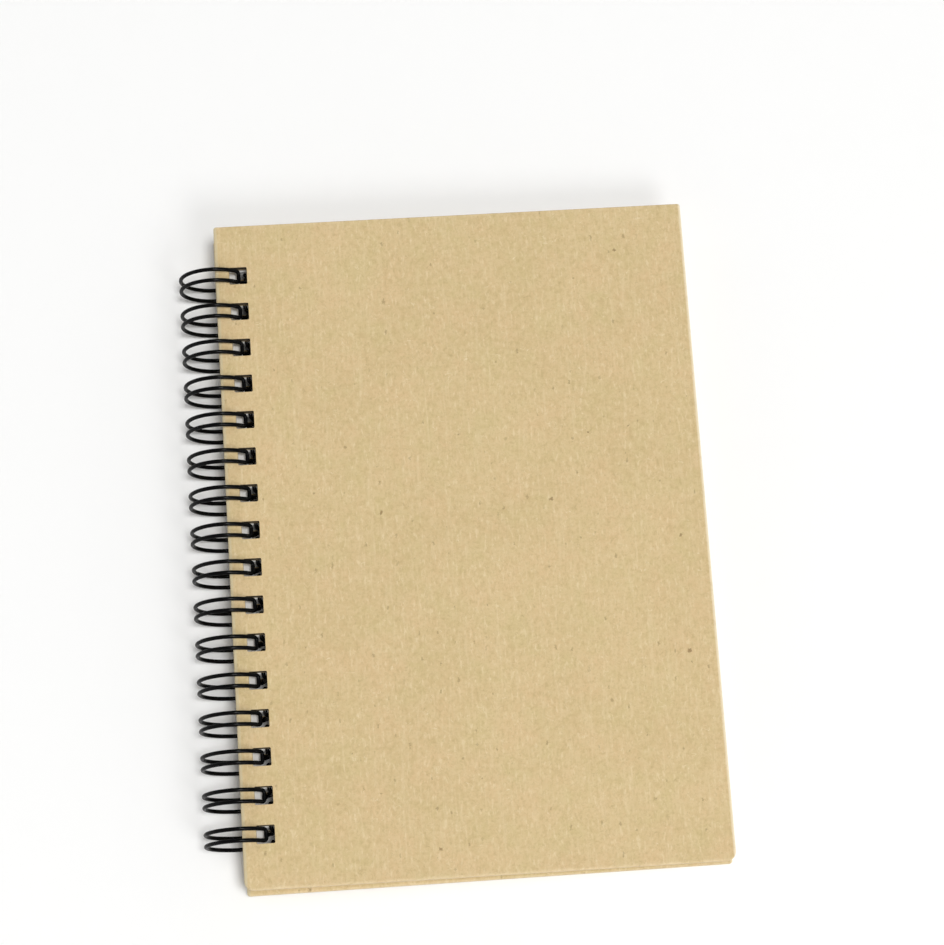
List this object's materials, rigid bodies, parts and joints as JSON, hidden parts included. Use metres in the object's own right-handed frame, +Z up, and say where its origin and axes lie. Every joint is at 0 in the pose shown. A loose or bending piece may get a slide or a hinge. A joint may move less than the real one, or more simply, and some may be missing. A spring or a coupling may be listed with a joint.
{
  "type": "spiral notebook",
  "caption": "Small hardcover notebook in plain kraft paper, bound along its long side with black twin-loop wire.",
  "frame": {"origin": "middle of the closed notebook's footprint, on the table it lies on", "axes": "+X from the wire-bound spine to the fore edge, +Y to the head of the pages, +Z up out of the front cover"},
  "size_m": [0.1158, 0.1513, 0.016],
  "materials": {
    "kraft": "matt natural kraft paper",
    "board": "raw grey board",
    "lining": "smooth kraft lining paper",
    "pages": "uncoated writing paper",
    "wire": "gloss black coating"
  },
  "bodies": {
    "back_cover": {"back_cover_board": "board", "back_cover_wrap": "kraft", "back_cover_lining": "lining"},
    "leaves": {"page_block": "pages", "binding_wire": "wire"},
    "front_cover": {"front_cover_board": "board", "front_cover_wrap": "kraft", "front_cover_lining": "lining"}
  },
  "joints": [
    {"name": "back_cover_hinge", "type": "hinge", "parent": "back_cover", "child": "leaves", "pos_m": [-0.04987, 0, 0.008], "axis": [0, -1, 0], "range_deg": [0, 182.8]},
    {"name": "front_cover_hinge", "type": "hinge", "parent": "leaves", "child": "front_cover", "pos_m": [-0.04987, 0, 0.008], "axis": [0, -1, 0], "range_deg": [0, 182.8]}
  ]
}
